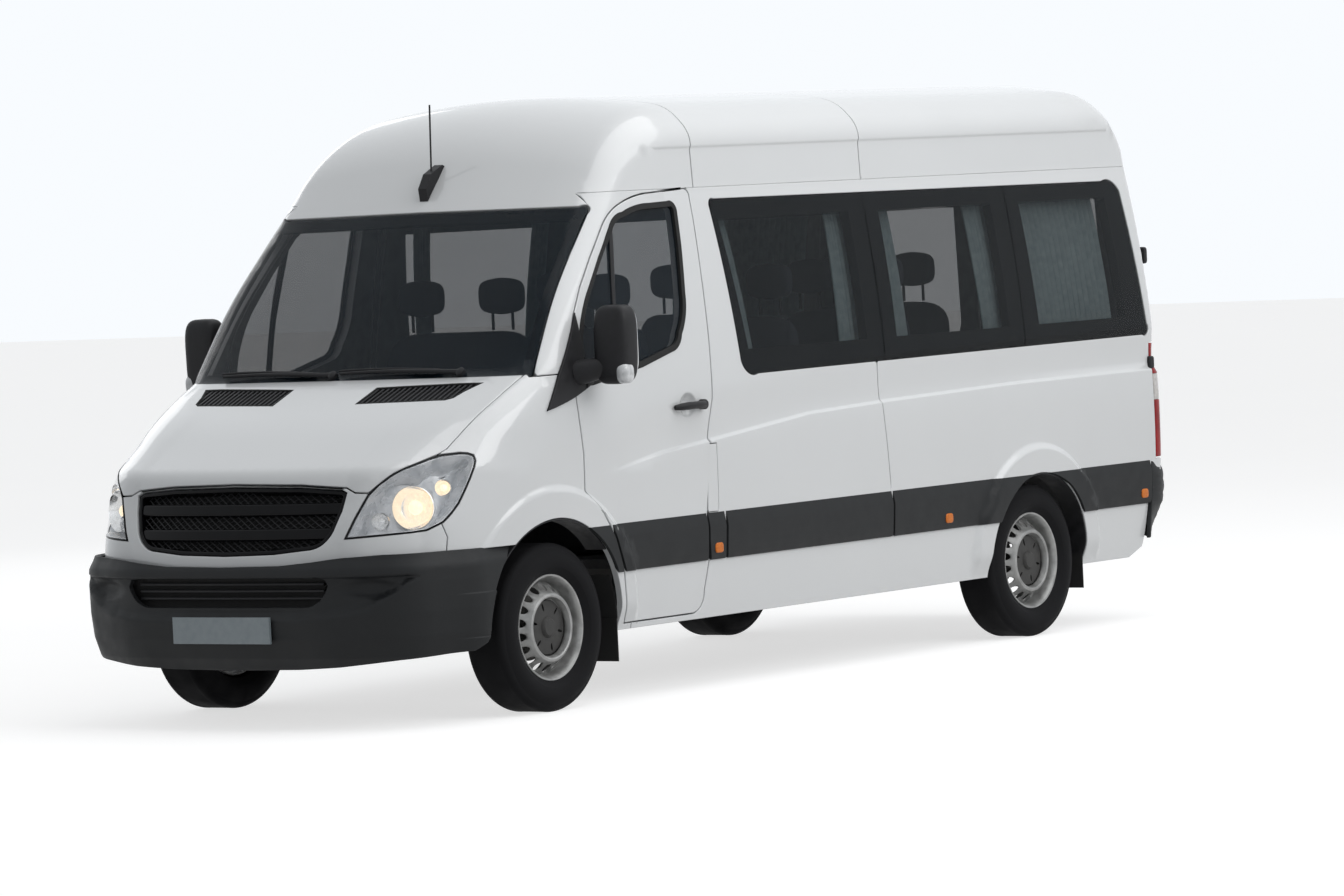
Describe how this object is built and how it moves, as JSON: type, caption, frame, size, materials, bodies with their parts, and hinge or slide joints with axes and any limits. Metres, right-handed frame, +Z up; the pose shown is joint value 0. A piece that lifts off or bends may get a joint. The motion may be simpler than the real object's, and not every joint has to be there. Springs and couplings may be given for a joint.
{
  "type": "high-roof minibus",
  "caption": "High-roof passenger van with hinged front and rear doors, a lifting bonnet, steered front wheels and glazed sides with curtains",
  "frame": {"origin": "on the ground, below the middle of the bounding box", "axes": "+X is forward along the length, +Y is left, +Z is up"},
  "size_m": [5.91, 2.4298, 2.5728],
  "materials": {
    "body_paint": "white gloss paint",
    "black_plastic": "grained black plastic",
    "grey_plastic": "grained charcoal plastic",
    "gloss_black": "gloss black plastic",
    "clear_glass": "clear safety glass",
    "dark_glass": "tinted safety glass with a dark border",
    "lamp_clear": "clear lamp cover over reflectors",
    "lamp_red": "red lamp cover with pale segments",
    "lamp_amber": "amber lens",
    "tyre": "black rubber",
    "wheel_paint": "silver painted steel",
    "chassis": "dark underbody paint",
    "cast": "cast and machined metal",
    "trim": "dark cabin plastic",
    "seat_cloth": "dark grey seat cloth",
    "curtain_cloth": "pale teal-grey curtain cloth",
    "floor_cover": "grey vinyl floor cover",
    "plate": "blank pale number plate",
    "rubber": "black rubber"
  },
  "bodies": {
    "body": {"floor": "floor_cover", "bulkhead": "trim", "chassis_frame": "chassis", "front_suspension": "chassis", "rear_axle": "chassis", "underbody": "chassis", "engine": "cast", "side_left": "body_paint", "side_right": "body_paint", "sliding_door": "body_paint", "roof": "body_paint", "wings": "body_paint", "nose_panel": "body_paint", "grille": "gloss_black", "front_bumper": "grey_plastic", "rear_bumper": "grey_plastic", "headlamps": "lamp_clear", "tail_lamps": "lamp_red", "windscreen": "clear_glass", "side_glass": "dark_glass", "side_mouldings": "grey_plastic", "side_markers": "lamp_amber", "curtains": "curtain_cloth", "dashboard": "trim", "front_seats": "seat_cloth", "passenger_seats": "seat_cloth", "aerial": "black_plastic", "wipers": "black_plastic", "number_plates": "plate", "mud_flaps": "rubber"},
    "bonnet": {"bonnet": "body_paint"},
    "steering_wheel": {"steering_wheel": "trim"},
    "front_door_left": {"door_left": "body_paint", "door_glass_left": "clear_glass", "door_fittings_left": "black_plastic", "door_moulding_left": "grey_plastic"},
    "front_door_right": {"door_right": "body_paint", "door_glass_right": "clear_glass", "door_fittings_right": "black_plastic", "door_moulding_right": "grey_plastic"},
    "rear_door_left": {"rear_door_left": "body_paint", "rear_glass_left": "dark_glass"},
    "rear_door_right": {"rear_door_right": "body_paint", "rear_glass_right": "dark_glass"},
    "steering_left": {"knuckle_left": "cast"},
    "steering_right": {"knuckle_right": "cast"},
    "wheel_front_left": {"tyre_front_left": "tyre", "rim_front_left": "wheel_paint"},
    "wheel_front_right": {"tyre_front_right": "tyre", "rim_front_right": "wheel_paint"},
    "wheel_rear_left": {"tyre_rear_left": "tyre", "rim_rear_left": "wheel_paint"},
    "wheel_rear_right": {"tyre_rear_right": "tyre", "rim_rear_right": "wheel_paint"}
  },
  "joints": [
    {"name": "front_door_left_swing", "type": "hinge", "parent": "body", "child": "front_door_left", "pos_m": [1.73, 0.992, 1.2], "axis": [0, 0, -1], "range_deg": [0, 75]},
    {"name": "front_door_right_swing", "type": "hinge", "parent": "body", "child": "front_door_right", "pos_m": [1.73, -0.992, 1.2], "axis": [0, 0, 1], "range_deg": [0, 75]},
    {"name": "rear_door_left_swing", "type": "hinge", "parent": "body", "child": "rear_door_left", "pos_m": [-2.888, 0.812, 1.4], "axis": [0, 0, -1], "range_deg": [0, 180]},
    {"name": "rear_door_right_swing", "type": "hinge", "parent": "body", "child": "rear_door_right", "pos_m": [-2.888, -0.812, 1.4], "axis": [0, 0, 1], "range_deg": [0, 180]},
    {"name": "bonnet_lift", "type": "hinge", "parent": "body", "child": "bonnet", "pos_m": [2.03, 0, 1.436], "axis": [0, -1, 0], "range_deg": [0, 55]},
    {"name": "steer_left", "type": "hinge", "parent": "body", "child": "steering_left", "pos_m": [1.951, 0.775, 0.352], "axis": [0, 0, 1], "range_deg": [-38, 38]},
    {"name": "steer_right", "type": "hinge", "parent": "body", "child": "steering_right", "pos_m": [1.951, -0.775, 0.352], "axis": [0, 0, 1], "range_deg": [-38, 38]},
    {"name": "steering_wheel_turn", "type": "hinge", "parent": "body", "child": "steering_wheel", "pos_m": [1.48, 0.47, 1.29], "axis": [-0.5145, 0, 0.8575], "range_deg": [-570, 570]},
    {"name": "wheel_front_left_spin", "type": "hinge", "parent": "steering_left", "child": "wheel_front_left", "pos_m": [1.951, 0.855, 0.352], "axis": [0, 1, 0], "continuous": true},
    {"name": "wheel_front_right_spin", "type": "hinge", "parent": "steering_right", "child": "wheel_front_right", "pos_m": [1.951, -0.855, 0.352], "axis": [0, 1, 0], "continuous": true},
    {"name": "wheel_rear_left_spin", "type": "hinge", "parent": "body", "child": "wheel_rear_left", "pos_m": [-1.714, 0.855, 0.352], "axis": [0, 1, 0], "continuous": true},
    {"name": "wheel_rear_right_spin", "type": "hinge", "parent": "body", "child": "wheel_rear_right", "pos_m": [-1.714, -0.855, 0.352], "axis": [0, 1, 0], "continuous": true}
  ],
  "couplings": [
    {"joint": "steer_right", "follows": "steer_left", "ratio": 1},
    {"joint": "steering_wheel_turn", "follows": "steer_left", "ratio": 15}
  ]
}
